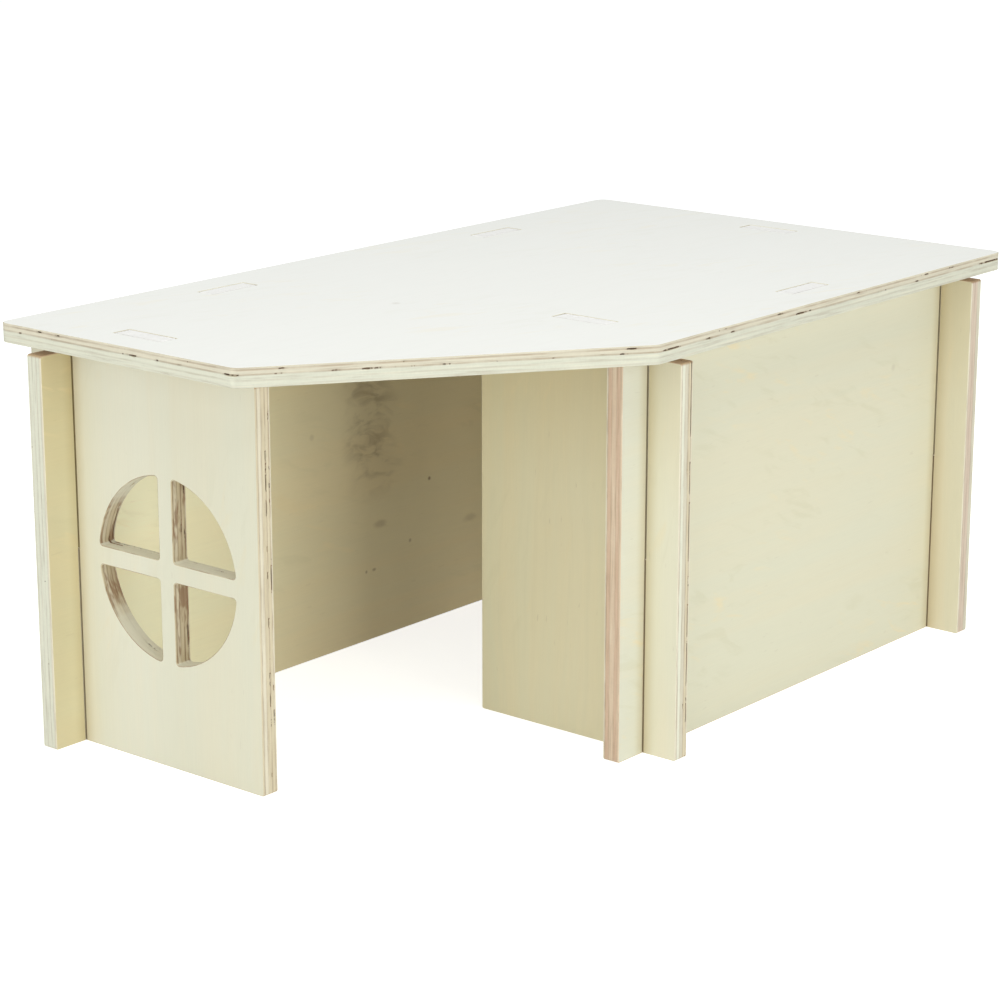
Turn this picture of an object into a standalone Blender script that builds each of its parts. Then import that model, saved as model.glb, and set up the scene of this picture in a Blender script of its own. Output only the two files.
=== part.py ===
"""Corner house for a rabbit, cut from plywood sheet.

Six flat panels hold one another without a screw, a hinge or a nail. The five walls cross in
half-lap joints, with a short tail past each crossing, and the roof drops over the tabs on
their top edges. +X runs along the back wall, +Y points to the back and +Z is up. The origin
is the centre of the footprint, on the floor. One corner of the roof is cut off over the
entrance, at -X and -Y.
"""

from math import asin, cos, pi, sin, sqrt, tan

import bmesh
import bpy
from mathutils import Vector
from mathutils.geometry import tessellate_polygon

# Sheet
PLY = 0.012                # thickness of every panel
FACE_GAP = 0.0003          # play where two panels rest face to face
SLOT_PLAY = 0.0005         # play on each side of a panel in its slot
CORNER_SOFT = 0.0015       # radius on the corners of the walls
TAB_SOFT = 0.0006          # radius on the corners of the tabs

# Roof
ROOF_LENGTH = 0.600
ROOF_DEPTH = 0.350
ROOF_CORNER = 0.008        # radius on the corners of the roof
ROOF_BASE = 0.256          # height of its underside
ROOF_TOP = ROOF_BASE + PLY
LEFT_EDGE = 0.2025         # what the cut corner leaves of the left edge
FRONT_EDGE = 0.3955        # what the cut corner leaves of the front edge
ROOF_X0 = -ROOF_LENGTH / 2
ROOF_X1 = ROOF_LENGTH / 2
ROOF_Y0 = -ROOF_DEPTH / 2
ROOF_Y1 = ROOF_DEPTH / 2

# Walls
WALL_HEIGHT = ROOF_BASE - FACE_GAP
TAIL = 0.025               # length of a wall past the one it crosses
TAIL_HEIGHT = 0.252        # the tails end a little lower than the walls
LAP_HEIGHT = TAIL_HEIGHT / 2
TAB_LENGTH = 0.040
BACK_TAB_SPACING = 0.270   # between the centres of the back wall's two tabs

# Distance from the roof's edge to the outer face of the wall under it
SIDE_INSET = 0.024
FRONT_INSET = 0.027

# Outer faces of the walls
WINDOW_X = ROOF_X0 + SIDE_INSET
END_X = ROOF_X1 - SIDE_INSET
FRONT_Y = ROOF_Y0 + FRONT_INSET
BACK_Y = ROOF_Y1 - FRONT_INSET
ENTRANCE_X = -0.070        # the entrance wall's face towards the doorway

# Free ends of the walls beside the doorway and the passage
WINDOW_FREE_Y = -0.020
ENTRANCE_FREE_Y = -0.017

# Round window with a cross, halfway between the wall's free end and the back wall
WINDOW_RADIUS = 0.059
WINDOW_BAR = 0.012         # width of the bars of the cross
WINDOW_SOFT = 0.0022       # radius in the corners of the four openings
WINDOW_HEIGHT = 0.126      # height of its centre
ARC_STEPS = 14


def rounded(corners, steps=4):
    """An outline through (u, v, radius) corners, each turned through an arc."""
    outline = []
    for index, (u, v, radius) in enumerate(corners):
        here = Vector((u, v))
        if radius == 0.0:
            outline.append(here)
            continue
        last = Vector(corners[index - 1][:2])
        following = Vector(corners[(index + 1) % len(corners)][:2])
        back = (last - here).normalized()
        ahead = (following - here).normalized()
        half = back.angle(ahead) / 2
        centre = here + (back + ahead).normalized() * (radius / sin(half))
        first = here + back * (radius / tan(half)) - centre
        final = here + ahead * (radius / tan(half)) - centre
        sweep = pi - 2 * half
        for step in range(steps + 1):
            angle = sweep * step / steps
            arm = first * sin(sweep - angle) + final * sin(angle)
            outline.append(centre + arm / sin(sweep))
    return outline


def lower_end(crossed, slot_below):
    """Corners of the lower edge at one end of a wall, from its tip inwards."""
    corners = [(0.0, 0.0, CORNER_SOFT)]
    if crossed and slot_below:
        near = TAIL - SLOT_PLAY
        far = TAIL + PLY + SLOT_PLAY
        top = LAP_HEIGHT + FACE_GAP
        corners += [(near, 0.0, 0.0), (near, top, 0.0), (far, top, 0.0), (far, 0.0, 0.0)]
    return corners


def upper_end(crossed, slot_below):
    """Corners of the upper edge at one end of a wall, from its tip inwards."""
    if not crossed:
        return [(0.0, WALL_HEIGHT, CORNER_SOFT)]
    near = TAIL - SLOT_PLAY
    far = TAIL + PLY + SLOT_PLAY
    corners = [(0.0, TAIL_HEIGHT, CORNER_SOFT), (near, TAIL_HEIGHT, 0.0)]
    if slot_below:
        corners.append((near, WALL_HEIGHT, 0.0))
    else:
        corners += [(near, LAP_HEIGHT, 0.0), (far, LAP_HEIGHT, 0.0), (far, WALL_HEIGHT, 0.0)]
    return corners


def from_far_end(corners, length):
    """The same corners measured from the wall's other end."""
    return [(length - u, v, soft) for u, v, soft in corners]


def wall_outline(length, tabs, crossed_start, crossed_end, slot_below):
    """A wall seen flat, u along its length and v up, with its tabs and half-lap slots."""
    corners = lower_end(crossed_start, slot_below)
    corners += from_far_end(lower_end(crossed_end, slot_below), length)[::-1]
    corners += from_far_end(upper_end(crossed_end, slot_below), length)
    for u in sorted(tabs, reverse=True):
        near = u + TAB_LENGTH / 2
        far = u - TAB_LENGTH / 2
        corners += [(near, WALL_HEIGHT, 0.0), (near, ROOF_TOP, TAB_SOFT)]
        corners += [(far, ROOF_TOP, TAB_SOFT), (far, WALL_HEIGHT, 0.0)]
    corners += upper_end(crossed_start, slot_below)[::-1]
    return rounded(corners)


def window_openings(u, v):
    """The four openings that a cross leaves in a round window centred on (u, v)."""
    bar = WINDOW_BAR / 2
    reach = sqrt(WINDOW_RADIUS ** 2 - bar ** 2)
    start = asin(bar / WINDOW_RADIUS)
    quarter = [(bar, bar, WINDOW_SOFT), (reach, bar, WINDOW_SOFT)]
    for step in range(1, ARC_STEPS):
        angle = start + (pi / 2 - 2 * start) * step / ARC_STEPS
        quarter.append((WINDOW_RADIUS * cos(angle), WINDOW_RADIUS * sin(angle), 0.0))
    quarter.append((bar, reach, WINDOW_SOFT))
    openings = []
    for turn_u, turn_v in ((1, 1), (-1, 1), (-1, -1), (1, -1)):
        corners = [(u + turn_u * a, v + turn_v * b, soft) for a, b, soft in quarter]
        openings.append(rounded(corners))
    return openings


def plywood(name, colour):
    """Bare, lightly sanded plywood."""
    material = bpy.data.materials.new(name + "_plywood")
    material.use_nodes = True
    shader = material.node_tree.nodes["Principled BSDF"]
    shader.inputs["Base Color"].default_value = (*colour, 1.0)
    shader.inputs["Roughness"].default_value = 0.62
    shader.inputs["Metallic"].default_value = 0.0
    return material


def panel(name, outline, openings, colour):
    """A flat panel: an outline with openings through it, thickened along its own Z."""
    flat = [[Vector((p.x, p.y, 0.0)) for p in loop] for loop in [outline] + openings]
    triangles = tessellate_polygon(flat)
    bm = bmesh.new()
    low = [bm.verts.new(p) for loop in flat for p in loop]
    high = [bm.verts.new(vert.co + Vector((0.0, 0.0, PLY))) for vert in low]
    for triangle in triangles:
        bm.faces.new([low[i] for i in triangle])
        bm.faces.new([high[i] for i in reversed(triangle)])
    start = 0
    for loop in flat:
        count = len(loop)
        for i in range(count):
            a = start + i
            b = start + (i + 1) % count
            bm.faces.new((low[a], low[b], high[b], high[a]))
        start += count
    bmesh.ops.recalc_face_normals(bm, faces=bm.faces)
    mesh = bpy.data.meshes.new(name)
    bm.to_mesh(mesh)
    bm.free()
    mesh.materials.append(plywood(name, colour))
    item = bpy.data.objects.new(name, mesh)
    bpy.context.scene.collection.objects.link(item)
    item.parent = bpy.data.objects["house"]
    return item


def wall_along_x(name, x0, x1, inner_y, tabs, crossed_start, colour):
    """A long wall. Its slots open downwards, so it drops over the walls that it crosses."""
    local_tabs = [x - x0 for x in tabs]
    outline = wall_outline(x1 - x0, local_tabs, crossed_start, True, True)
    item = panel(name, outline, [], colour)
    item.rotation_euler = (pi / 2, 0.0, 0.0)
    item.location = (x0, inner_y, 0.0)


def wall_along_y(name, y0, y1, left_x, crossed_start, crossed_end, openings, colour):
    """A short wall. Its slots open upwards, and the long walls drop into them."""
    length = y1 - y0
    outline = wall_outline(length, [length / 2], crossed_start, crossed_end, False)
    item = panel(name, outline, openings, colour)
    item.rotation_euler = (pi / 2, 0.0, pi / 2)
    item.location = (left_x, y0, 0.0)


def back_tabs():
    """Centres of the back wall's two tabs, along X."""
    return [-BACK_TAB_SPACING / 2, BACK_TAB_SPACING / 2]


def front_tab():
    """Centre of the front wall's tab, along X."""
    return (ENTRANCE_X + END_X) / 2


def roof_slots():
    """One slot for each tab, as (centre x, centre y, half size along x, half along y)."""
    long_half = TAB_LENGTH / 2 + SLOT_PLAY
    short_half = PLY / 2 + SLOT_PLAY
    across_y = [
        (WINDOW_X + PLY / 2, (WINDOW_FREE_Y + BACK_Y + TAIL) / 2),
        (ENTRANCE_X + PLY / 2, (FRONT_Y - TAIL + ENTRANCE_FREE_Y) / 2),
        (END_X - PLY / 2, (FRONT_Y + BACK_Y) / 2),
    ]
    across_x = [(x, BACK_Y - PLY / 2) for x in back_tabs()]
    across_x.append((front_tab(), FRONT_Y + PLY / 2))
    slots = [(x, y, short_half, long_half) for x, y in across_y]
    slots += [(x, y, long_half, short_half) for x, y in across_x]
    return slots


def build_roof():
    """The roof: a rectangle with its entrance corner cut off, and a slot for each tab."""
    corners = [
        (ROOF_X1 - FRONT_EDGE, ROOF_Y0, ROOF_CORNER),
        (ROOF_X1, ROOF_Y0, ROOF_CORNER),
        (ROOF_X1, ROOF_Y1, ROOF_CORNER),
        (ROOF_X0, ROOF_Y1, ROOF_CORNER),
        (ROOF_X0, ROOF_Y1 - LEFT_EDGE, ROOF_CORNER),
    ]
    slots = []
    for x, y, a, b in roof_slots():
        sides = ((x - a, y - b), (x + a, y - b), (x + a, y + b), (x - a, y + b))
        slots.append([Vector(corner) for corner in sides])
    roof = panel("roof", rounded(corners, 8), slots, (0.84, 0.84, 0.78))
    roof.location = (0.0, 0.0, ROOF_BASE)


def build_long_walls():
    """The back wall and the front wall, which run along X."""
    right_tip = END_X + TAIL
    wall_along_x("back_wall", WINDOW_X - TAIL, right_tip, BACK_Y, back_tabs(), True,
                 (0.72, 0.68, 0.52))
    wall_along_x("front_wall", ENTRANCE_X - TAIL, right_tip, FRONT_Y + PLY, [front_tab()],
                 True, (0.77, 0.74, 0.60))


def build_short_walls():
    """The window wall, the entrance wall and the end wall, which run along Y."""
    front_tip = FRONT_Y - TAIL
    back_tip = BACK_Y + TAIL
    window_middle = (BACK_Y - PLY - WINDOW_FREE_Y) / 2
    window = window_openings(window_middle, WINDOW_HEIGHT)
    wall_along_y("window_wall", WINDOW_FREE_Y, back_tip, WINDOW_X, False, True, window,
                 (0.78, 0.75, 0.60))
    wall_along_y("entrance_wall", front_tip, ENTRANCE_FREE_Y, ENTRANCE_X, True, False, [],
                 (0.76, 0.73, 0.58))
    wall_along_y("end_wall", front_tip, back_tip, END_X - PLY, True, True, [],
                 (0.76, 0.73, 0.58))


def main():
    for item in list(bpy.data.objects):
        bpy.data.objects.remove(item, do_unlink=True)
    house = bpy.data.objects.new("house", None)
    bpy.context.scene.collection.objects.link(house)
    build_short_walls()
    build_long_walls()
    build_roof()


main()
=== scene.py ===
from math import pi, radians

import bmesh
import bpy
from bpy.props import FloatProperty, FloatVectorProperty, IntProperty, PointerProperty
from mathutils import Matrix, Vector


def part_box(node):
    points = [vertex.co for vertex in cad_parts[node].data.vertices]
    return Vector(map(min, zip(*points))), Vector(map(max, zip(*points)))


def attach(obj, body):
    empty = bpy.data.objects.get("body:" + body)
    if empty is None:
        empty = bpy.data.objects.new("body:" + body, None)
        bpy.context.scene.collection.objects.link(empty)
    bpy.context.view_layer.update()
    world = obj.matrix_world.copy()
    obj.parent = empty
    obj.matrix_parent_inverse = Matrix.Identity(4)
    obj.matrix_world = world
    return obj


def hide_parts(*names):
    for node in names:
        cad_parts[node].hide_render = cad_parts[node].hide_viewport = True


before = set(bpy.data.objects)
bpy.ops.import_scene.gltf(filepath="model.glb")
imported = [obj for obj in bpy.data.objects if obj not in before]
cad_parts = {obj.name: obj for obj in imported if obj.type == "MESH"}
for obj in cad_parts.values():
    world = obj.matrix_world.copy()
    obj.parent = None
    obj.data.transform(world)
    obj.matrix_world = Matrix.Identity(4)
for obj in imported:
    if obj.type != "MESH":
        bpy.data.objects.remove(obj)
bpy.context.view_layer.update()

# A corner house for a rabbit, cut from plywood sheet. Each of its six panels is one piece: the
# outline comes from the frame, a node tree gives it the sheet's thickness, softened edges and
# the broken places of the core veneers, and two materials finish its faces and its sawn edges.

bl_info = {
    "name": "Corner House",
    "version": (1, 0, 0),
    "blender": (4, 5, 0),
    "location": "3D View > Sidebar > Corner House",
    "description": "Makes a flat-packed plywood corner house for a rabbit",
    "category": "Add Mesh",
}

# Where the glue lines lie through the sheet, as shares of its thickness from its first face
# to its second, and half the width of the places where the core breaks away along them
GLUE_LINES = (0.105, 0.36, 0.64, 0.885)
GAP_HALF_WIDTH = 0.0442

# Sizes of marks, in metres: the painted dark line of shade where two panels meet and the
# painted shade beside it, how far below the tops of its tabs a wall's upper edges carry
# painted shade, its tabs carry painted sheen and its face carries painted shade under the
# roof, and the flame of mineral streaks
SEAM_OFFSET = 0.0002
SEAM_LINE = 0.0007
SEAM_SHADE = 0.0100
DARK_REACH = 0.0180
SHEEN_REACH = 0.0040
EAVES_REACH = 0.125
FLAME_HALF_WIDTH = 0.034
FLAME_HALF_HEIGHT = 0.068

# Pin knots: the cell that may hold one, the knot's width and the width of its halo
PIN_CELL = 0.034
PIN_SIZE = 0.0011
PIN_HALO = 0.0034

# How deep the bump is in the faces and in the sawn edges
FACE_RELIEF = 0.00004
EDGE_RELIEF = 0.00010

# What counts as one point, as lying in the first face, as the rim that a sawn edge shares
# with a face, as a corner of an outline, and as a sharp edge
SAME_POINT = 1e-6
SAME_PLANE = 1e-5
SAME_RIM = 2e-6
CORNER_SINE = 1e-4
SHARP_ANGLE = radians(50.0)

# The two faces of the sheet
FIRST_FACE, SECOND_FACE = 0, 1


def paint(red, green, blue):
    """A colour from a paint chart, 0 to 255, as linear light."""
    def linear(value):
        share = value / 255.0
        return share / 12.92 if share <= 0.04045 else ((share + 0.055) / 1.055) ** 2.4
    return linear(red), linear(green), linear(blue)


# ---------------------------------------------------------------- what each panel looks like

class Look:
    """How one panel differs from the others.

    node        the frame's node that it stands for
    body        the body that it moves with
    grain       the way that the face veneers run, "up" or "along"
    side        the face that tint, zones, eaves, knots and flame belong to, because the two
                face veneers come from different logs
    tint        multiplies the colour of that face
    plies       tints of the five veneers, in the order of the sheet's depth
    lines       how dark the four glue lines are
    gaps        how much of each glue line has broken away
    bands, figure, clouds, flecks
                strengths of the marks on the faces
    seed        picks the sheet that the panel was cut from
    crossed     the panels that it meets in half-lap joints
    eaves       how strong the painted shade under the roof is
    zones       broad changes of colour along the panel, painted light and shade on the back wall: centre, half width and tint
    flame       the middle of a patch of mineral streaks
    knots       small marks: place, half sizes and strength
    faded       how much painted sheen the faces carry: the near-white that the roof's face shows at a low angle
    edge_shade  painted shade on the sawn edges: how bright they are where they don't face
    along X
    """

    def __init__(self, node, body, grain, tint, plies, lines, gaps, bands, figure, clouds,
                 flecks, seed, side=FIRST_FACE, crossed=(), eaves=1.0, zones=(), flame=None,
                 knots=(), painted_sheen=0.0, edge_shade=1.0):
        self.node = node
        self.body = body
        self.grain = grain
        self.side = side
        self.tint = tint
        self.plies = plies
        self.lines = lines
        self.gaps = gaps
        self.bands = bands
        self.figure = figure
        self.clouds = clouds
        self.flecks = flecks
        self.seed = seed
        self.crossed = crossed
        self.eaves = eaves
        self.zones = zones
        self.flame = flame
        self.knots = knots
        self.painted_sheen = painted_sheen
        self.edge_shade = edge_shade

    def seams(self):
        """Where along the panel the crossed panels' faces meet it."""
        along = 0 if self.body in ("back", "front") else 1
        for node in self.crossed:
            low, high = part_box(node)
            yield low[along] - SEAM_OFFSET
            yield high[along] + SEAM_OFFSET


SHORT_WALLS = (
    Look("window_wall", "short_walls", grain="up", tint=(1.02, 1.04, 1.09),
         plies=("tan", "cream", "tan", "tan", "cream"), lines=(0.9, 0.6, 0.9, 1.0),
         gaps=(0.08, 0.16, 0.36, 0.36), bands=0.4, figure=0.3, clouds=0.4, flecks=0.2,
         seed=11.3, crossed=("back_wall",), eaves=0.0,
         zones=((0.100, 0.060, (1.04, 1.05, 1.08)), (-0.140, 0.070, (0.97, 0.96, 0.95)))),
    Look("entrance_wall", "short_walls", grain="up", tint=(1.0, 0.98, 0.91),
         plies=("cream", "pale", "grey", "tan", "cream"), lines=(1.0, 0.5, 0.9, 0.9),
         gaps=(0.06, 0.05, 0.28, 0.50), bands=0.7, figure=0.9, clouds=0.5, flecks=0.5,
         seed=27.9, crossed=("front_wall",),
         zones=((-0.168, 0.040, (1.03, 1.06, 1.18)), (0.0, 0.140, (0.97, 0.98, 0.97)))),
    Look("end_wall", "short_walls", grain="up", tint=(0.97, 0.95, 0.94),
         plies=("cream", "blush", "blush", "grey", "pale"), lines=(0.6, 0.5, 0.6, 0.4),
         gaps=(0.03, 0.04, 0.06, 0.03), bands=0.7, figure=0.6, clouds=0.5, flecks=0.3,
         seed=43.1, crossed=("front_wall", "back_wall")),
)
LONG_WALLS = (
    # Painted light and shade on the back wall's inner face: its zones are light coming in at
    # the left and at the right, painted shade in the middle and darker painted shade at the
    # left end, behind the window wall; its yellower tint is partly the wood's colour and
    # partly the painted colour of the shaded inside.
    Look("back_wall", "back", grain="along", side=SECOND_FACE, tint=(1.03, 0.97, 0.83),
         plies=("pale", "pale", "pale", "pale", "cream"), lines=(0.35, 0.4, 0.5, 0.3),
         gaps=(0.03, 0.14, 0.16, 0.05), bands=0.5, figure=0.4, clouds=0.7, flecks=0.2,
         seed=58.4, crossed=("window_wall", "end_wall"), eaves=0.7,
         zones=((-0.300, 0.055, (0.78, 0.76, 0.70)), (-0.232, 0.050, (1.10, 1.12, 1.17)),
                (-0.205, 0.140, (1.17, 1.25, 1.33)), (0.000, 0.110, (0.93, 0.92, 0.90)),
                (0.115, 0.095, (1.21, 1.21, 1.22))),
         flame=(-0.004, 0.158),
         knots=((0.054, 0.104, 0.0013, 0.0013, 0.75), (0.002, 0.082, 0.0060, 0.0026, 0.30),
                (0.033, 0.063, 0.0014, 0.0014, 0.50), (-0.013, 0.050, 0.0012, 0.0012, 0.55),
                (-0.005, 0.050, 0.0018, 0.0010, 0.50), (0.098, 0.066, 0.0070, 0.0030, 0.22))),
    Look("front_wall", "front", grain="along", side=SECOND_FACE, tint=(0.935, 0.950, 0.965),
         plies=("cream", "pink", "rose", "pink", "rose"), lines=(1.0, 0.5, 0.4, 0.4),
         gaps=(0.05, 0.02, 0.02, 0.03), bands=0.5, figure=0.3, clouds=1.0, flecks=0.25,
         seed=72.6, crossed=("entrance_wall", "end_wall"), eaves=0.0,
         zones=((-0.085, 0.035, (1.0, 1.02, 1.09)),)),
)
ROOF = Look("roof", "top", grain="along", tint=(1.0, 1.0, 1.0),
            plies=("pale", "pale", "pale", "cream", "cream"), lines=(0.35, 0.40, 1.0, 1.0),
            gaps=(0.01, 0.03, 0.36, 0.28), bands=0.2, figure=0.2, clouds=0.3, flecks=0.1,
            seed=89.7, eaves=0.0, painted_sheen=1.0, edge_shade=0.85)


# ---------------------------------------------------------------- node trees written as sums

class Wire:
    """One output of a node tree. Each operator on it adds a Math node."""

    def __init__(self, graph, socket):
        self.graph = graph
        self.socket = socket

    def __add__(self, other):
        return self.graph.math("ADD", self, other)

    __radd__ = __add__

    def __sub__(self, other):
        return self.graph.math("SUBTRACT", self, other)

    def __rsub__(self, other):
        return self.graph.math("SUBTRACT", other, self)

    def __mul__(self, other):
        return self.graph.math("MULTIPLY", self, other)

    __rmul__ = __mul__

    def __truediv__(self, other):
        return self.graph.math("DIVIDE", self, other)

    def __rtruediv__(self, other):
        return self.graph.math("DIVIDE", other, self)

    def __gt__(self, other):
        return self.graph.math("GREATER_THAN", self, other)

    def __lt__(self, other):
        return self.graph.math("LESS_THAN", self, other)

    def __abs__(self):
        return self.graph.math("ABSOLUTE", self)


class Graph:
    """A node tree that is written from its first node to its last."""

    def __init__(self, tree):
        self.tree = tree

    def connect(self, socket, value):
        """Feeds a socket with a wire or a plain value."""
        if isinstance(value, Wire):
            self.tree.links.new(value.socket, socket)
        else:
            socket.default_value = value

    def node(self, kind, settings=None, values=None, output=0):
        """Adds a node, with its settings first and then its sockets; gives one output."""
        made = self.tree.nodes.new(kind)
        for name, value in (settings or {}).items():
            if name == "stops":
                self.set_stops(made.color_ramp, value)
            else:
                setattr(made, name, value)
        for name, value in (values or {}).items():
            self.connect(made.inputs[name], value)
        return Wire(self, made.outputs[output]) if made.outputs else made

    @staticmethod
    def set_stops(ramp, stops):
        """Gives a colour ramp its (place, colour) stops."""
        ramp.elements[0].position, ramp.elements[1].position = stops[0][0], stops[-1][0]
        ramp.elements[0].color = (*stops[0][1], 1.0)
        ramp.elements[-1].color = (*stops[-1][1], 1.0)
        for place, colour in stops[1:-1]:
            ramp.elements.new(place).color = (*colour, 1.0)

    def math(self, operation, *values):
        return self.node("ShaderNodeMath", {"operation": operation}, dict(enumerate(values)))

    def vector(self, operation, *values, output=0):
        return self.node("ShaderNodeVectorMath", {"operation": operation},
                         dict(enumerate(values)), output)

    def scale(self, vector, factor):
        made = self.vector("SCALE", vector)
        self.connect(made.socket.node.inputs["Scale"], factor)
        return made

    def point(self, x, y, z=0.0):
        return self.node("ShaderNodeCombineXYZ", {}, {0: x, 1: y, 2: z})

    def split(self, vector):
        parts = self.node("ShaderNodeSeparateXYZ", {}, {0: vector}).socket.node.outputs
        return [Wire(self, part) for part in parts]

    def store(self, geometry, name, value, kind="FLOAT_VECTOR", domain="POINT"):
        """Keeps a value on a geometry as an attribute."""
        return self.node("GeometryNodeStoreNamedAttribute",
                         {"data_type": kind, "domain": domain},
                         {"Geometry": geometry, "Name": name, "Value": value})

    def stored(self, name, kind="FLOAT_VECTOR"):
        return self.node("GeometryNodeInputNamedAttribute", {"data_type": kind},
                         {"Name": name})

    def smooth(self, value, low, high):
        """0 at low and 1 at high, with a soft step between them."""
        return self.node("ShaderNodeMapRange", {"interpolation_type": "SMOOTHSTEP"},
                         {"Value": value, "From Min": low, "From Max": high})

    def noise(self, place, detail=2.0, roughness=0.5, distortion=0.0):
        """Soft noise around 0.5 at a place measured in its own cells."""
        return self.node("ShaderNodeTexNoise", {"noise_dimensions": "3D"},
                         {"Vector": place, "Scale": 1.0, "Detail": detail,
                          "Roughness": roughness, "Distortion": distortion}, "Fac")

    def blend(self, share, first, second, mode="MIX"):
        """Mixes two colours."""
        made = self.tree.nodes.new("ShaderNodeMix")
        made.data_type = "RGBA"
        made.blend_type = mode
        made.clamp_factor = True
        self.connect(made.inputs[0], share)
        for index, colour in ((6, first), (7, second)):
            self.connect(made.inputs[index],
                         colour if isinstance(colour, Wire) else (*colour, 1.0))
        return Wire(self, made.outputs[2])


# ---------------------------------------------------------------- settings

class CornerHouseSheet(bpy.types.PropertyGroup):
    """Sizes and colours of the plywood sheet."""

    arris: FloatProperty(
        name="Arris", description="Radius that sanding leaves on every edge of the sheet",
        default=0.0005, min=0.0001, max=0.0005, unit="LENGTH")
    column_spacing: FloatProperty(
        name="Edge step", description="Longest step along the sawn edges",
        default=0.0018, min=0.0005, unit="LENGTH")
    rows: IntProperty(
        name="Edge rows", description="Points through the sheet's thickness",
        default=27, min=9)
    gap_depth: FloatProperty(
        name="Gap depth", description="How far a broken core veneer falls back",
        default=0.0009, min=0.0, unit="LENGTH")
    saw_depth: FloatProperty(
        name="Saw marks", description="How far the saw leaves the softer plies back",
        default=0.00012, min=0.0, unit="LENGTH")
    pale: FloatVectorProperty(
        name="Pale veneer", description="Lightest veneer in the sawn edge",
        subtype="COLOR", default=paint(228, 225, 206))
    cream: FloatVectorProperty(
        name="Cream veneer", description="Usual veneer in the sawn edge",
        subtype="COLOR", default=paint(228, 218, 196))
    tan: FloatVectorProperty(
        name="Tan veneer", description="Veneer cut across its grain",
        subtype="COLOR", default=paint(215, 201, 172))
    grey: FloatVectorProperty(
        name="Grey veneer", description="Weathered core veneer",
        subtype="COLOR", default=paint(211, 202, 181))
    pink: FloatVectorProperty(
        name="Pink veneer", description="Reddish core veneer",
        subtype="COLOR", default=paint(212, 182, 156))
    rose: FloatVectorProperty(
        name="Rose veneer", description="Core veneer with a touch of red",
        subtype="COLOR", default=paint(220, 196, 170))
    blush: FloatVectorProperty(
        name="Blush veneer", description="Core veneer between pink and grey",
        subtype="COLOR", default=paint(211, 190, 171))
    glue: FloatVectorProperty(
        name="Glue line", description="Glue between two veneers",
        subtype="COLOR", default=paint(158, 128, 100))
    gap: FloatVectorProperty(
        name="Gap", description="Shade inside a broken core veneer",
        subtype="COLOR", default=paint(78, 52, 38))
    scorch: FloatVectorProperty(
        name="Scorch", description="Brown that the saw leaves inside a window or a slot",
        subtype="COLOR", default=paint(146, 108, 78))
    face: FloatVectorProperty(
        name="Face", description="Sanded face of the sheet",
        subtype="COLOR", default=paint(228, 220, 194))
    face_warm: FloatVectorProperty(
        name="Warm bands", description="Yellower bands in the face",
        subtype="COLOR", default=paint(231, 218, 185))
    face_cool: FloatVectorProperty(
        name="Cool bands", description="Greener bands in the face",
        subtype="COLOR", default=paint(223, 219, 193))
    # The roof's pale face colour is painted sheen: the near-white that its face shows at a low
    # angle under the light
    face_faded: FloatVectorProperty(
        name="Faded face", description="The roof's bleached face",
        subtype="COLOR", default=paint(234, 231, 231))
    # Painted shade: the dark line where two panels meet stands in for the shadow in the joint
    seam_shadow: FloatVectorProperty(
        name="Crevice", description="Dust and shade where two panels meet",
        subtype="COLOR", default=paint(82, 58, 20))
    mark: FloatVectorProperty(
        name="Marks", description="Pith flecks, pin knots and mineral streaks",
        subtype="COLOR", default=paint(132, 104, 78))


class CornerHouseStage(bpy.types.PropertyGroup):
    """The floor, the light and the camera."""

    floor: FloatVectorProperty(
        name="Floor", description="Colour of the floor", subtype="COLOR",
        default=(0.75, 0.75, 0.75))
    floor_glow: FloatProperty(
        name="Floor glow", description="Light that the floor gives by itself",
        default=0.25, min=0.0)
    floor_lift: FloatProperty(
        name="Floor lift", description="What brightens the floor for the eye alone",
        default=0.47, min=0.0)
    sky: FloatProperty(
        name="Surrounding light", description="Strength of the even light all round",
        default=0.40, min=0.0)
    top_light: FloatProperty(
        name="Top light", description="Power of the softbox overhead",
        default=37.0, min=0.0, unit="POWER")
    left_light: FloatProperty(
        name="Left light", description="Power of the softbox beside the window",
        default=15.0, min=0.0, unit="POWER")
    right_light: FloatProperty(
        name="Right light", description="Power of the softbox before the front wall",
        default=16.0, min=0.0, unit="POWER")
    light_colour: FloatVectorProperty(
        name="Light colour", description="Colour of the light", subtype="COLOR",
        default=(0.955, 1.0, 0.985))
    lens: FloatProperty(
        name="Lens", description="Focal length of the camera on a 36 mm sensor",
        default=103.96, min=1.0)
    eye: FloatVectorProperty(
        name="Eye", description="Place of the camera", subtype="TRANSLATION",
        unit="LENGTH", default=(-1.4308, -1.1650, 0.6274))
    turn: FloatProperty(
        name="Turn", description="Heading of the camera, from +Y towards +X",
        subtype="ANGLE", default=radians(50.2254))
    dip: FloatProperty(
        name="Dip", description="Angle that the camera looks down by",
        subtype="ANGLE", default=radians(15.2905))


# ---------------------------------------------------------------- the shape of a panel

def flat_frame(node):
    """A panel's own frame, u along, v up and w through it, and its thickness."""
    low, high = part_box(node)
    sizes = [high[axis] - low[axis] for axis in range(3)]
    thin = sizes.index(min(sizes))
    if thin == 0:
        rows = ((0, 0, 1, low[0]), (1, 0, 0, 0), (0, 1, 0, 0), (0, 0, 0, 1))
    elif thin == 1:
        rows = ((1, 0, 0, 0), (0, 0, -1, high[1]), (0, 1, 0, 0), (0, 0, 0, 1))
    else:
        rows = ((1, 0, 0, 0), (0, 1, 0, 0), (0, 0, 1, low[2]), (0, 0, 0, 1))
    return Matrix(rows), sizes[thin]


def without_straight_points(loop):
    """Drops the points of a loop that lie on a straight run."""
    kept = []
    for index, here in enumerate(loop):
        back = (here - loop[index - 1]).normalized()
        ahead = (loop[(index + 1) % len(loop)] - here).normalized()
        if abs(back.x * ahead.y - back.y * ahead.x) > CORNER_SINE:
            kept.append(here)
    return kept


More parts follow.
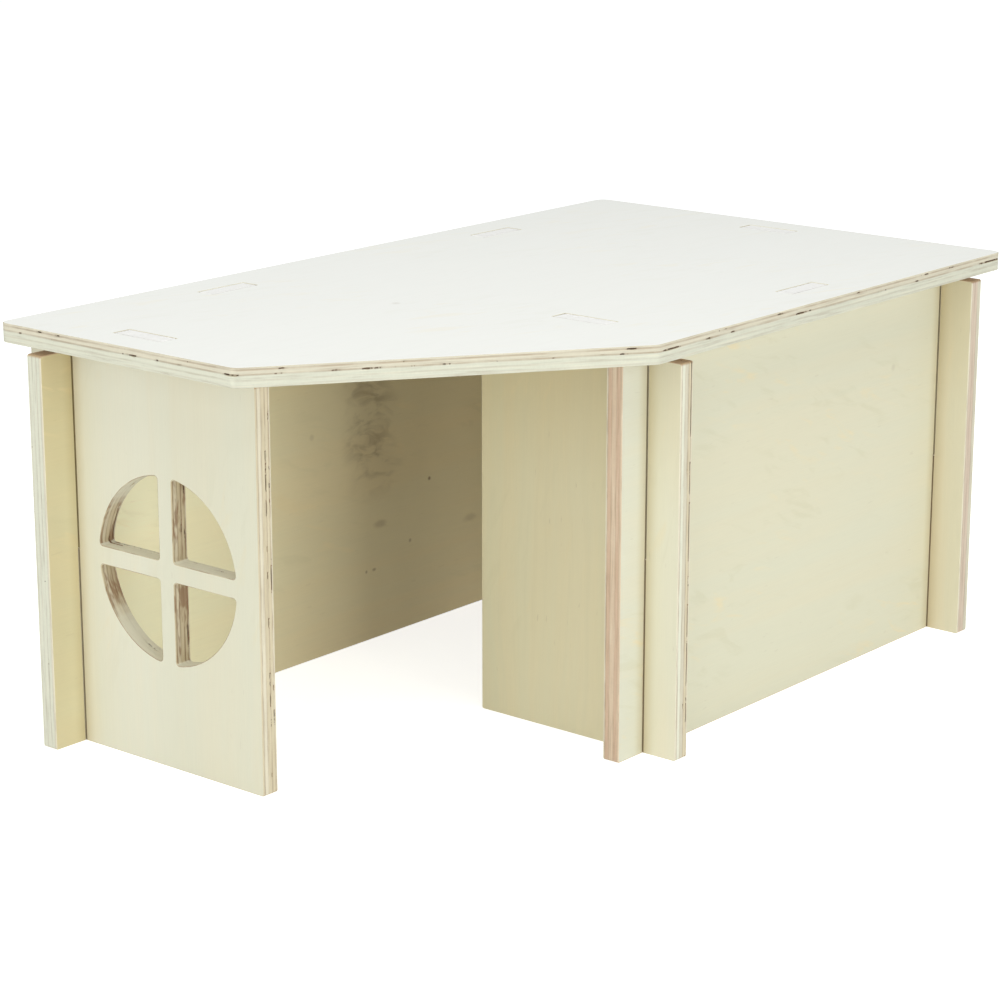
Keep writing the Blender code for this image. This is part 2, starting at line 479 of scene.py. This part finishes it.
def cut_loops(node, place):
    """The loops that bound a panel, with the sheet always on the left of their way round."""
    bm = bmesh.new()
    bm.from_mesh(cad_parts[node].data)
    bm.transform(place.inverted())
    bmesh.ops.remove_doubles(bm, verts=bm.verts, dist=SAME_POINT)
    first_face = {face for face in bm.faces
                  if max(vert.co.z for vert in face.verts) < SAME_PLANE}
    following = {}
    for face in first_face:
        for corner in face.loops:
            if all(other.face not in first_face for other in corner.link_loops):
                following[corner.link_loop_next.vert] = corner.vert
    loops = []
    while following:
        start, vert = following.popitem()
        loop = [start.co.copy()]
        while vert is not start:
            loop.append(vert.co.copy())
            vert = following.pop(vert)
        loops.append(without_straight_points(loop))
    bm.free()
    loops.sort(key=lambda loop: min(point.x for point in loop))
    return loops


def broken_core(graph, u, v, depth, seed, gaps):
    """Where the core veneers have broken away along the glue lines, 0 to 1."""
    broken = None
    for index, (line, share) in enumerate(zip(GLUE_LINES, gaps)):
        place = graph.point(u * 60.0, v * 60.0, seed + 3.7 * index)
        patch = graph.noise(place, 4.0, 0.68)
        near = graph.smooth(abs(depth - line), GAP_HALF_WIDTH, GAP_HALF_WIDTH * 0.45)
        limit = 0.74 - share * 0.52
        here = near * graph.smooth(patch, limit, limit + 0.035)
        broken = here if broken is None else graph.math("MAXIMUM", broken, here)
    return broken


def cut_curves(graph, given):
    """The loops as closed curves, with points close enough for the broken places.

    Each point keeps its place as "rail" and, as "mitre", the way from it into the sheet, long
    enough to keep both sides of a corner parallel.
    """
    number = graph.stored("cut", "INT")
    points = graph.store(given["Cut Loops"], "inner", graph.math("MINIMUM", number, 1.0),
                         "FLOAT")
    points = graph.node("GeometryNodeMeshToPoints", {}, {"Mesh": points})
    order = graph.node("GeometryNodeInputIndex")
    curves = graph.node("GeometryNodePointsToCurves", {},
                        {"Points": points, "Curve Group ID": number, "Weight": order})
    curves = graph.node("GeometryNodeSetSplineCyclic", {},
                        {"Geometry": curves, "Cyclic": True})
    position = graph.node("GeometryNodeInputPosition")

    def neighbour(step):
        other = graph.node("GeometryNodeOffsetPointInCurve", {}, {"Offset": step}, 1)
        return graph.node("GeometryNodeFieldAtIndex",
                          {"data_type": "FLOAT_VECTOR", "domain": "POINT"},
                          {"Value": position, "Index": other})

    run = graph.vector("DISTANCE", position, neighbour(1), output="Value")
    cuts = graph.math("FLOOR", run / given["Edge Step"])
    curves = graph.node("GeometryNodeSubdivideCurve", {}, {"Curve": curves, "Cuts": cuts})

    def inward(start, end):
        way = graph.vector("NORMALIZE", graph.vector("SUBTRACT", end, start))
        x, y, _ = graph.split(way)
        return graph.point(0.0 - y, x)

    before = inward(neighbour(-1), position)
    after = inward(position, neighbour(1))
    spread = 1.0 + graph.vector("DOT_PRODUCT", before, after, output="Value")
    mitre = graph.scale(graph.vector("ADD", before, after),
                        1.0 / graph.math("MAXIMUM", spread, 0.2))
    curves = graph.store(curves, "mitre", mitre)
    return graph.store(curves, "rail", position)


def sawn_edge(graph, given, curves, gaps):
    """A strip round every curve and through the thickness, rounded over at both faces."""
    arris = given["Arris"]
    thickness = given["Thickness"]
    line = graph.node("GeometryNodeCurvePrimitiveLine", {}, {"End": (0.0, 0.0, 1.0)})
    line = graph.node("GeometryNodeResampleCurve", {},
                      {"Curve": line, "Count": given["Edge Rows"]})
    _, _, level = graph.split(graph.node("GeometryNodeInputPosition"))
    line = graph.store(line, "level", level, "FLOAT")
    edge = graph.node("GeometryNodeCurveToMesh", {},
                      {"Curve": curves, "Profile Curve": line})

    # From one face to the other: a quarter turn, a straight run and a quarter turn
    quarter = arris * (pi / 2)
    straight = thickness - 2.0 * arris
    whole = straight + 2.0 * quarter
    way_up = graph.stored("level", "FLOAT") * whole
    way_down = whole - way_up
    low_turn = graph.math("MINIMUM", way_up / arris, pi / 2)
    high_turn = graph.math("MINIMUM", way_down / arris, pi / 2)
    inset = arris * (2.0 - graph.math("SINE", low_turn) - graph.math("SINE", high_turn))
    middle = graph.math("MAXIMUM", 0.0, graph.math("MINIMUM", way_up - quarter, straight))
    height = (arris * (1.0 - graph.math("COSINE", low_turn)) + middle
              + arris * graph.math("COSINE", high_turn))

    # Broken places and saw marks, which stay clear of both faces
    depth = height / thickness
    u, v, _ = graph.split(graph.stored("rail"))
    broken = broken_core(graph, u, v, depth, given["Seed"], gaps)
    saw = graph.noise(graph.point(u * 160.0, v * 160.0, depth * 7.0 + given["Seed"]), 1.0)
    inside = graph.smooth(depth, 0.06, 0.10) * graph.smooth(depth, 0.94, 0.90)
    inset = inset + inside * (broken * given["Gap Depth"] + saw * given["Saw Depth"])
    place = graph.vector("ADD", graph.stored("rail"),
                         graph.scale(graph.stored("mitre"), inset))
    place = graph.vector("ADD", place, graph.point(0.0, 0.0, height))
    edge = graph.node("GeometryNodeSetPosition", {}, {"Geometry": edge, "Position": place})
    edge = graph.store(edge, "sawn", True, "BOOLEAN", "FACE")
    edge = graph.node("GeometryNodeFlipFaces", {}, {"Mesh": edge})
    return graph.node("GeometryNodeSetShadeSmooth", {"domain": "FACE"},
                      {"Geometry": edge, "Shade Smooth": True})


def both_faces(graph, given, curves):
    """The first and the second face, set in from the sawn edge by the arris."""
    step_in = graph.scale(graph.stored("mitre"), given["Arris"])
    rim = graph.node("GeometryNodeSetPosition", {}, {"Geometry": curves, "Offset": step_in})
    second = graph.node("GeometryNodeFillCurve", {}, {"Curve": rim})
    second = graph.node("GeometryNodeSetShadeSmooth", {"domain": "FACE"},
                        {"Geometry": second, "Shade Smooth": False})
    first = graph.node("GeometryNodeFlipFaces", {}, {"Mesh": second})
    through = graph.point(0.0, 0.0, given["Thickness"])
    second = graph.node("GeometryNodeSetPosition", {},
                        {"Geometry": second, "Offset": through})
    return first, second


def sheet_tree(look):
    """The node tree that turns a panel's cut loops into a sheet of plywood."""
    tree = bpy.data.node_groups.new("sheet_" + look.node, "GeometryNodeTree")
    inputs = (("Cut Loops", "NodeSocketGeometry"), ("Thickness", "NodeSocketFloat"),
              ("Arris", "NodeSocketFloat"), ("Edge Step", "NodeSocketFloat"),
              ("Edge Rows", "NodeSocketInt"), ("Gap Depth", "NodeSocketFloat"),
              ("Saw Depth", "NodeSocketFloat"), ("Seed", "NodeSocketFloat"),
              ("Face Finish", "NodeSocketMaterial"), ("Edge Finish", "NodeSocketMaterial"))
    for name, kind in inputs:
        tree.interface.new_socket(name, in_out="INPUT", socket_type=kind)
    tree.interface.new_socket("Sheet", in_out="OUTPUT", socket_type="NodeSocketGeometry")
    graph = Graph(tree)
    entry = tree.nodes.new("NodeGroupInput")
    given = {name: Wire(graph, entry.outputs[name]) for name, _ in inputs}
    curves = cut_curves(graph, given)
    sheet = tree.nodes.new("GeometryNodeJoinGeometry")
    for part in (sawn_edge(graph, given, curves, look.gaps),
                 *both_faces(graph, given, curves)):
        tree.links.new(part.socket, sheet.inputs[0])
    sheet = graph.node("GeometryNodeMergeByDistance", {},
                       {"Geometry": Wire(graph, sheet.outputs[0]), "Distance": SAME_RIM})
    angle = graph.node("GeometryNodeInputMeshEdgeAngle")
    sheet = graph.node("GeometryNodeSetShadeSmooth", {"domain": "EDGE"},
                       {"Geometry": sheet, "Selection": angle > SHARP_ANGLE,
                        "Shade Smooth": False})
    sheet = graph.node("GeometryNodeRealizeInstances", {}, {"Geometry": sheet})
    sheet = graph.node("GeometryNodeSetMaterial", {},
                       {"Geometry": sheet, "Material": given["Face Finish"]})
    sheet = graph.node("GeometryNodeSetMaterial", {},
                       {"Geometry": sheet, "Selection": graph.stored("sawn", "BOOLEAN"),
                        "Material": given["Edge Finish"]})
    leave = tree.nodes.new("NodeGroupOutput")
    graph.connect(leave.inputs["Sheet"], sheet)
    return tree


def cut_sheet(look, settings, on_faces, on_edges):
    """Makes one panel as a plain mesh, in its place in the house."""
    place, thickness = flat_frame(look.node)
    loops = cut_loops(look.node, place)
    points = [point for loop in loops for point in loop]
    numbers = [index for index, loop in enumerate(loops) for _ in loop]
    blank = bpy.data.meshes.new(look.node + "_blank")
    blank.from_pydata(points, [], [])
    blank.attributes.new("cut", "INT", "POINT").data.foreach_set("value", numbers)
    item = bpy.data.objects.new(look.node + "_blank", blank)
    bpy.context.scene.collection.objects.link(item)
    tree = sheet_tree(look)
    modifier = item.modifiers.new("Sheet", "NODES")
    modifier.node_group = tree
    values = {"Thickness": thickness, "Arris": settings.arris,
              "Edge Step": settings.column_spacing, "Edge Rows": settings.rows,
              "Gap Depth": settings.gap_depth, "Saw Depth": settings.saw_depth,
              "Seed": look.seed, "Face Finish": on_faces, "Edge Finish": on_edges}
    for socket in tree.interface.items_tree:
        if socket.name in values:
            modifier[socket.identifier] = values[socket.name]
    evaluated = item.evaluated_get(bpy.context.evaluated_depsgraph_get())
    mesh = bpy.data.meshes.new_from_object(evaluated)
    bpy.data.objects.remove(item, do_unlink=True)
    bpy.data.meshes.remove(blank)
    bpy.data.node_groups.remove(tree)
    if not mesh.polygons:
        raise RuntimeError("the sheet for " + look.node + " came out empty")
    for index in reversed(range(len(mesh.materials))):
        if mesh.materials[index] is None:
            mesh.materials.pop(index=index)
    for name in ("mitre", "rail", "level", "sawn", "cut"):
        if name in mesh.attributes:
            mesh.attributes.remove(mesh.attributes[name])
    mesh.transform(place)
    mesh.name = look.node + "_sheet"
    piece = bpy.data.objects.new(look.node + "_sheet", mesh)
    bpy.context.scene.collection.objects.link(piece)
    return piece


# ---------------------------------------------------------------- finishes

def sheet_place(graph, node):
    """Object coordinates turned into the panel's own u, v and depth from 0 to 1."""
    place, thickness = flat_frame(node)
    coordinates = graph.node("ShaderNodeTexCoord", {}, {}, "Object")
    x, y, z = graph.split(coordinates)
    low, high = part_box(node)
    if place[0][2] == 1:
        return y, z, (x - low[0]) / thickness
    if place[1][2] == -1:
        return x, z, (high[1] - y) / thickness
    return x, y, (z - low[2]) / thickness


def new_finish(name):
    """An empty finish and the graph of its tree."""
    finish = bpy.data.materials.new(name)
    finish.use_nodes = True
    finish.node_tree.nodes.clear()
    return finish, Graph(finish.node_tree)


def close_finish(graph, colour, roughness, height, relief):
    """Ends a finish in a shader, with its height as bump."""
    bump = graph.node("ShaderNodeBump", {},
                      {"Strength": 1.0, "Distance": relief, "Height": height})
    shader = graph.node("ShaderNodeBsdfPrincipled", {},
                        {"Base Color": colour, "Roughness": roughness, "Normal": bump})
    graph.node("ShaderNodeOutputMaterial", {}, {"Surface": shader})


def pin_marks(graph, wood, size, share, seed):
    """Small round marks, one at most in each cell and only in a share of the cells."""
    place = graph.point(wood.u / PIN_CELL, wood.v / PIN_CELL, seed)
    near = graph.node("ShaderNodeTexVoronoi",
                      {"voronoi_dimensions": "3D", "feature": "F1"},
                      {"Vector": place, "Scale": 1.0, "Randomness": 1.0}, "Distance")
    colour = Wire(graph, near.socket.node.outputs["Color"])
    chance, width, _ = graph.split(colour)
    radius = (0.35 + width) * (size / PIN_CELL)
    return graph.smooth(near, radius, radius * 0.4) * (chance < share)


class Veneer:
    """A point's place in a face veneer, and the noises that its marks share."""

    def __init__(self, graph, look):
        u, v, depth = sheet_place(graph, look.node)
        on_second = depth > 0.5
        grain, across = (v, u) if look.grain == "up" else (u, v)
        seed = look.seed
        wander = graph.noise(graph.point(grain * 5.0, across * 9.0, seed), 2.0) - 0.5
        bent = across + wander * 0.030
        slanted = across + grain * 0.30
        self.u, self.v = u, v
        self.grain, self.across = grain, across
        self.on_side = on_second if look.side == SECOND_FACE else 1.0 - on_second
        self.wander = wander
        self.bent = bent
        self.band = graph.noise(graph.point(bent * 62.0, grain * 1.3, seed + 1.0), 2.0, 0.55)
        self.wide = graph.noise(graph.point(across * 11.0, grain * 5.0, seed + 2.0), 2.0, 0.5)
        self.cloud = graph.noise(graph.point(grain * 26.0, slanted * 95.0, seed + 4.0),
                                 3.0, 0.55, 0.6)
        self.fibre = graph.noise(graph.point(across * 1500.0, grain * 34.0, seed + 6.0),
                                 2.0, 0.6)


def veneer_bands(graph, wood, look, settings):
    """Soft bands along the grain, under a pale painted sheen where the face carries one."""
    colour = graph.blend(graph.smooth(wood.band * 0.55 + wood.wide * 0.45, 0.40, 0.62),
                         tuple(settings.face_cool), tuple(settings.face_warm))
    colour = graph.blend(1.0 - 0.60 * look.bands, colour, tuple(settings.face))
    # Painted sheen: the roof's face is blended towards near-white
    if look.painted_sheen:
        colour = graph.blend(0.85 * look.painted_sheen, colour, tuple(settings.face_faded))
    return colour


def veneer_tints(graph, wood, look, colour):
    """What sets one face apart: its tint, its zones, which on the back wall are painted light
    and shade, and the painted shade under the roof.
    """
    colour = graph.blend(wood.on_side, colour, look.tint, "MULTIPLY")
    # Zones: broad tints along the face; on the back wall they are painted light and shade
    for centre, half_width, tint in look.zones:
        away = abs(wood.u - centre + wood.wander * 0.04)
        zone = graph.smooth(away, half_width, half_width * 0.10) * wood.on_side
        colour = graph.blend(zone, colour, tint, "MULTIPLY")
    if look.eaves:
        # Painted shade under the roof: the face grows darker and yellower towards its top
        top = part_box(look.node)[1][2]
        under_roof_shade = graph.smooth(wood.v, top - EAVES_REACH, top - 0.02) * wood.on_side
        colour = graph.blend(under_roof_shade * look.eaves, colour, (0.93, 0.90, 0.83), "MULTIPLY")
    return colour


def veneer_figure(graph, wood, look, colour):
    """Figure, clouds and fibres."""
    grain, across, seed = wood.grain, wood.across, look.seed

    # Figure: the soft late lines of the growth rings
    ring = graph.noise(graph.point(wood.bent * 230.0, grain * 3.0, seed + 3.0), 2.0, 0.6)
    patch = graph.smooth(wood.wide, 0.40, 0.62)
    figure = graph.smooth(ring, 0.50, 0.70) * (0.35 + 0.65 * patch)
    colour = graph.blend(figure * (0.10 * look.figure), colour, (0.62, 0.55, 0.36))

    # Clouds: short warm and dull places where the grain dips
    region = graph.noise(graph.point(grain * 9.0, across * 12.0, seed + 5.0), 1.0)
    warm = graph.smooth(wood.cloud, 0.55, 0.72) * graph.smooth(region, 0.46, 0.60)
    dull = graph.smooth(wood.cloud, 0.45, 0.30) * graph.smooth(region, 0.42, 0.56)
    colour = graph.blend(warm * (0.40 * look.clouds), colour, paint(236, 214, 166))
    colour = graph.blend(dull * (0.16 * look.clouds), colour, paint(196, 188, 150))
    shade = 0.97 + 0.06 * wood.fibre
    return graph.blend(1.0, colour, graph.point(shade, shade, shade), "MULTIPLY")


def veneer_flame(graph, wood, look, colour):
    """A flame of mineral streaks."""
    centre_u, centre_v = look.flame
    u, v = wood.u, wood.v
    sway = graph.noise(graph.point(v * 26.0, look.seed, 0.0), 1.0) - 0.5
    away_u = abs(u - centre_u + sway * 0.040) / FLAME_HALF_WIDTH
    away_v = abs(v - centre_v) / FLAME_HALF_HEIGHT
    inside = (graph.smooth(away_u, 1.0, 0.15) * graph.smooth(away_v, 1.0, 0.30)
              * wood.on_side)
    bow = away_u * away_u * 0.006
    place = graph.point(u * 52.0 + v * 26.0, (v + bow) * 122.0, look.seed + 8.0)
    lick = graph.noise(place, 3.0, 0.52, 0.60)
    flame = inside * (0.25 + 0.75 * graph.smooth(lick, 0.42, 0.66))
    return graph.blend(flame * 0.52, colour, paint(126, 104, 78))


def veneer_seams(graph, wood, look, settings, colour):
    """Painted shade where a crossed panel meets this one: a dark line along the joint and
    softer shade beside it.
    """
    for seam in look.seams():
        away = abs(wood.u - seam)
        # Painted shade: a soft band beside the seam and a dark line at it
        colour = graph.blend(graph.smooth(away, SEAM_SHADE, 0.0004) * 0.30, colour,
                             paint(176, 152, 92))
        colour = graph.blend(graph.smooth(away, SEAM_LINE, 0.0002) * 0.85, colour,
                             tuple(settings.seam_shadow))
    return colour


def face_finish(look, settings):
    """Sanded face veneer: its wood, then flecks, pin knots, a flame, knots and the painted
    shade at the seams.
    """
    finish, graph = new_finish(look.node + "_face")
    wood = Veneer(graph, look)
    mark = tuple(settings.mark)
    colour = veneer_bands(graph, wood, look, settings)
    colour = veneer_tints(graph, wood, look, colour)
    colour = veneer_figure(graph, wood, look, colour)

    fleck = graph.noise(graph.point(wood.across * 420.0, wood.grain * 75.0, look.seed + 7.0),
                        1.0)
    fleck = graph.smooth(fleck, 0.735, 0.80)
    colour = graph.blend(fleck * (0.30 * look.flecks), colour, mark)
    share = 0.42 * look.flecks
    pins = pin_marks(graph, wood, PIN_SIZE, share, look.seed)
    halo = pin_marks(graph, wood, PIN_HALO, share, look.seed)
    colour = graph.blend(halo * 0.16, colour, mark)
    colour = graph.blend(pins * 0.80, colour, mark)
    if look.flame:
        colour = veneer_flame(graph, wood, look, colour)
    for centre_u, centre_v, size_u, size_v, strength in look.knots:
        away_u = (wood.u - centre_u) / size_u
        away_v = (wood.v - centre_v) / size_v
        away = graph.math("SQRT", away_u * away_u + away_v * away_v)
        knot = graph.smooth(away + (wood.cloud - 0.5) * 1.2, 1.5, 0.3) * wood.on_side
        colour = graph.blend(knot * strength, colour, mark)
    colour = veneer_seams(graph, wood, look, settings, colour)

    roughness = 0.50 + 0.10 * wood.fibre + 0.06 * wood.band
    height = wood.fibre - pins * 3.0 - fleck * 0.6
    close_finish(graph, colour, roughness, height, FACE_RELIEF)
    return finish


def ply_stops(look, settings):
    """The five veneers as the stops of a ramp, with soft borders at the glue lines."""
    borders = (0.0, *GLUE_LINES, 1.0)
    stops = []
    for index, tint in enumerate(look.plies):
        colour = tuple(getattr(settings, tint))
        stops.append((borders[index] + 0.015, colour))
        stops.append((borders[index + 1] - 0.015, colour))
    return stops


def glue_lines(graph, look, u, v, depth):
    """How dark the glue between the veneers is, 0 to 1."""
    lines = None
    for index, (line, strength) in enumerate(zip(GLUE_LINES, look.lines)):
        place = graph.point(u * 45.0, v * 45.0, look.seed + 11.0 + index)
        vary = graph.smooth(graph.noise(place, 2.0, 0.6), 0.30, 0.65)
        near = graph.smooth(abs(depth - line), 0.070, 0.015)
        here = near * (strength * (0.30 + vary * 0.70))
        lines = here if lines is None else graph.math("MAXIMUM", lines, here)
    return lines


def wall_tops(graph, look, settings, v, colour):
    """Painted shade on a wall's upper edges, under the roof, and painted sheen on its tabs,
    which stand up through the roof.
    """
    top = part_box(look.node)[1][2]
    # Painted shade: the upper edges under the roof are darkened brown
    dark = graph.smooth(v, top - DARK_REACH, top - DARK_REACH + 0.0015)
    # Painted sheen: the tab tops, flush with the roof, take the roof's pale colour
    sheened = graph.smooth(v, top - SHEEN_REACH, top - 0.0012)
    colour = graph.blend(dark, colour, (0.74, 0.58, 0.46), "MULTIPLY")
    return graph.blend(sheened * 0.90, colour, tuple(settings.face_faded))


def edge_finish(look, settings):
    """Sawn edge: five veneers, the glue lines between them and broken places in the core."""
    finish, graph = new_finish(look.node + "_edge")
    u, v, depth = sheet_place(graph, look.node)
    seed = look.seed
    sway = graph.noise(graph.point(u * 38.0, v * 38.0, seed + 0.5), 2.0) - 0.5
    swayed = depth + sway * 0.030
    colour = graph.node("ShaderNodeValToRGB", {"stops": ply_stops(look, settings)},
                        {"Fac": swayed}, "Color")
    normal = graph.node("ShaderNodeTexCoord", {}, {}, "Normal")
    facing_x, _, facing_z = graph.split(normal)
    upright = graph.smooth(abs(facing_z), 0.75, 0.45)
    colour = graph.blend(upright * 0.85 + 0.15, tuple(settings.tan), colour)

    # Long streaks in the veneers and fine pores, and painted shade on the sawn edges that
    # don't face along X
    streak = graph.noise(graph.point(u * 30.0, v * 30.0, depth * 8.0 + seed), 3.0, 0.65)
    pores = graph.noise(graph.point(u * 700.0, v * 700.0, depth * 5.0 + seed), 2.0, 0.6)
    facing_along_x = graph.smooth(abs(facing_x), 0.80, 0.98)
    shade = look.edge_shade + (1.0 - look.edge_shade) * facing_along_x
    shade = (0.80 + 0.30 * streak + 0.10 * pores) * shade
    colour = graph.blend(1.0, colour, graph.point(shade, shade, shade), "MULTIPLY")
    colour = graph.blend(graph.smooth(streak, 0.52, 0.68) * 0.30, colour,
                         tuple(settings.cream))
    colour = graph.blend(graph.smooth(streak, 0.46, 0.30) * 0.24, colour,
                         tuple(settings.glue))

    # Inside a slot or a window the glue is darker, the saw has browned the upright wood and
    # the level wood is paler
    inner = graph.node("ShaderNodeAttribute", {"attribute_name": "inner"}, {}, "Fac")
    lines = glue_lines(graph, look, u, v, swayed)
    colour = graph.blend(lines * (0.36 + 0.19 * upright + 0.35 * inner * upright), colour,
                         tuple(settings.glue))
    burn = graph.noise(graph.point(u * 42.0, v * 42.0, depth * 2.5 + seed + 21.0), 3.0, 0.65)
    burn = graph.smooth(burn, 0.47, 0.60) * (0.10 + 0.90 * upright)
    colour = graph.blend(inner * burn * 0.75, colour, tuple(settings.scorch))
    colour = graph.blend(inner * upright * 0.65, colour, (0.84, 0.80, 0.70), "MULTIPLY")
    colour = graph.blend(inner * (1.0 - upright) * 0.65, colour, tuple(settings.pale))

    # Broken places, with painted shade where they are deep
    broken = broken_core(graph, u, v, depth, seed, look.gaps)
    deep = graph.noise(graph.point(u * 120.0, v * 120.0, seed + 31.0), 1.0)
    hollow = graph.blend(graph.smooth(deep, 0.38, 0.58) * (1.0 - 0.7 * look.painted_sheen),
                         tuple(settings.gap), tuple(settings.scorch))
    colour = graph.blend(broken * 0.93, colour, hollow)
    if look is not ROOF:
        colour = wall_tops(graph, look, settings, v, colour)

    roughness = 0.66 + 0.12 * pores + broken * 0.1
    height = pores * 0.7 + streak * 0.8 - lines * 0.8 - broken * 1.5
    close_finish(graph, colour, roughness, height, EDGE_RELIEF)
    return finish


def make_panel(look, settings):
    """Cuts, finishes and places one panel."""
    piece = cut_sheet(look, settings, face_finish(look, settings),
                      edge_finish(look, settings))
    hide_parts(look.node)
    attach(piece, look.body)
    look.node + "_plywood"
    return piece


# ---------------------------------------------------------------- operators

class CORNERHOUSE_OT_short_walls(bpy.types.Operator):
    """Make the window wall, the entrance wall and the end wall"""

    bl_idname = "corner_house.short_walls"
    bl_label = "Short Walls"

    def execute(self, context):
        for look in SHORT_WALLS:
            make_panel(look, context.scene.corner_house_sheet)
        return {"FINISHED"}


class CORNERHOUSE_OT_long_walls(bpy.types.Operator):
    """Make the back wall and the front wall"""

    bl_idname = "corner_house.long_walls"
    bl_label = "Long Walls"

    def execute(self, context):
        for look in LONG_WALLS:
            make_panel(look, context.scene.corner_house_sheet)
        return {"FINISHED"}


class CORNERHOUSE_OT_roof(bpy.types.Operator):
    """Make the roof"""

    bl_idname = "corner_house.roof"
    bl_label = "Roof"

    def execute(self, context):
        make_panel(ROOF, context.scene.corner_house_sheet)
        return {"FINISHED"}


def softbox(name, size, place, power, colour):
    """A square lamp at a place, turned towards the house."""
    data = bpy.data.lights.new(name, "AREA")
    data.shape = "SQUARE"
    data.size = size
    data.energy = power
    data.color = colour
    lamp = bpy.data.objects.new(name, data)
    lamp.location = place
    aim = Vector((0.0, 0.0, 0.1)) - Vector(place)
    lamp.rotation_euler = aim.to_track_quat("-Z", "Y").to_euler()
    bpy.context.scene.collection.objects.link(lamp)


class CORNERHOUSE_OT_stage(bpy.types.Operator):
    """Make the floor, the light and the camera"""

    bl_idname = "corner_house.stage"
    bl_label = "Stage"

    def execute(self, context):
        scene = context.scene
        settings = scene.corner_house_stage
        self.make_floor(settings)
        self.make_light(scene, settings)
        self.make_camera(scene, settings)
        return {"FINISHED"}

    @staticmethod
    def make_floor(settings):
        reach = 14.0
        mesh = bpy.data.meshes.new("floor")
        corners = [(-reach, -reach, 0.0), (reach, -reach, 0.0), (reach, reach, 0.0),
                   (-reach, reach, 0.0)]
        mesh.from_pydata(corners, [], [(0, 1, 2, 3)])
        floor = bpy.data.objects.new("floor", mesh)
        bpy.context.scene.collection.objects.link(floor)
        finish, graph = new_finish("floor_white")
        seen = graph.node("ShaderNodeLightPath", {}, {}, "Is Camera Ray")
        glow = settings.floor_glow + settings.floor_lift * seen
        shader = graph.node("ShaderNodeBsdfPrincipled", {},
                            {"Base Color": (*settings.floor, 1.0), "Roughness": 0.9,
                             "Specular IOR Level": 0.0, "Emission Strength": 1.0,
                             "Emission Color": graph.point(glow, glow, glow)})
        graph.node("ShaderNodeOutputMaterial", {}, {"Surface": shader})
        mesh.materials.append(finish)

    @staticmethod
    def make_light(scene, settings):
        world = bpy.data.worlds.new("studio")
        world.use_nodes = True
        world.node_tree.nodes.clear()
        graph = Graph(world.node_tree)
        seen = graph.node("ShaderNodeLightPath", {}, {}, "Is Camera Ray")
        sky = graph.node("ShaderNodeBackground", {},
                         {"Color": (*settings.light_colour, 1.0),
                          "Strength": graph.math("MAXIMUM", seen * 1.1, settings.sky)})
        graph.node("ShaderNodeOutputWorld", {}, {"Surface": sky})
        scene.world = world
        scene.view_settings.view_transform = "Standard"
        boxes = (("top_light", 2.2, (-0.3, -0.3, 2.2), settings.top_light),
                 ("left_light", 1.8, (-2.4, -0.5, 1.3), settings.left_light),
                 ("right_light", 1.2, (-0.4, -2.4, 0.66), settings.right_light))
        for name, size, place, power in boxes:
            softbox(name, size, place, power, settings.light_colour)

    @staticmethod
    def make_camera(scene, settings):
        data = bpy.data.cameras.new("camera")
        data.lens = settings.lens
        data.sensor_width = 36.0
        data.clip_start = 0.05
        data.clip_end = 60.0
        camera = bpy.data.objects.new("camera", data)
        camera.location = settings.eye
        camera.rotation_euler = (pi / 2 - settings.dip, 0.0, -settings.turn)
        scene.collection.objects.link(camera)
        scene.camera = camera


class CORNERHOUSE_PT_house(bpy.types.Panel):
    """Lists what the add-on makes"""

    bl_idname = "CORNERHOUSE_PT_house"
    bl_label = "Corner House"
    bl_space_type = "VIEW_3D"
    bl_region_type = "UI"
    bl_category = "Corner House"

    def draw(self, context):
        layout = self.layout
        for title, group, operators in (
                ("Sheet", context.scene.corner_house_sheet, STEPS[:3]),
                ("Stage", context.scene.corner_house_stage, STEPS[3:])):
            box = layout.box()
            box.label(text=title)
            for name in group.__annotations__:
                box.prop(group, name)
            for operator in operators:
                box.operator(operator.bl_idname)


STEPS = (CORNERHOUSE_OT_short_walls, CORNERHOUSE_OT_long_walls, CORNERHOUSE_OT_roof,
         CORNERHOUSE_OT_stage)
CLASSES = (CornerHouseSheet, CornerHouseStage, *STEPS, CORNERHOUSE_PT_house)


def register():
    for cls in CLASSES:
        bpy.utils.register_class(cls)
    bpy.types.Scene.corner_house_sheet = PointerProperty(type=CornerHouseSheet)
    bpy.types.Scene.corner_house_stage = PointerProperty(type=CornerHouseStage)


def unregister():
    del bpy.types.Scene.corner_house_stage
    del bpy.types.Scene.corner_house_sheet
    for cls in reversed(CLASSES):
        bpy.utils.unregister_class(cls)


def main():
    register()
    bpy.ops.corner_house.short_walls()
    bpy.ops.corner_house.long_walls()
    bpy.ops.corner_house.roof()
    bpy.ops.corner_house.stage()


if __name__ == "__main__":
    main()
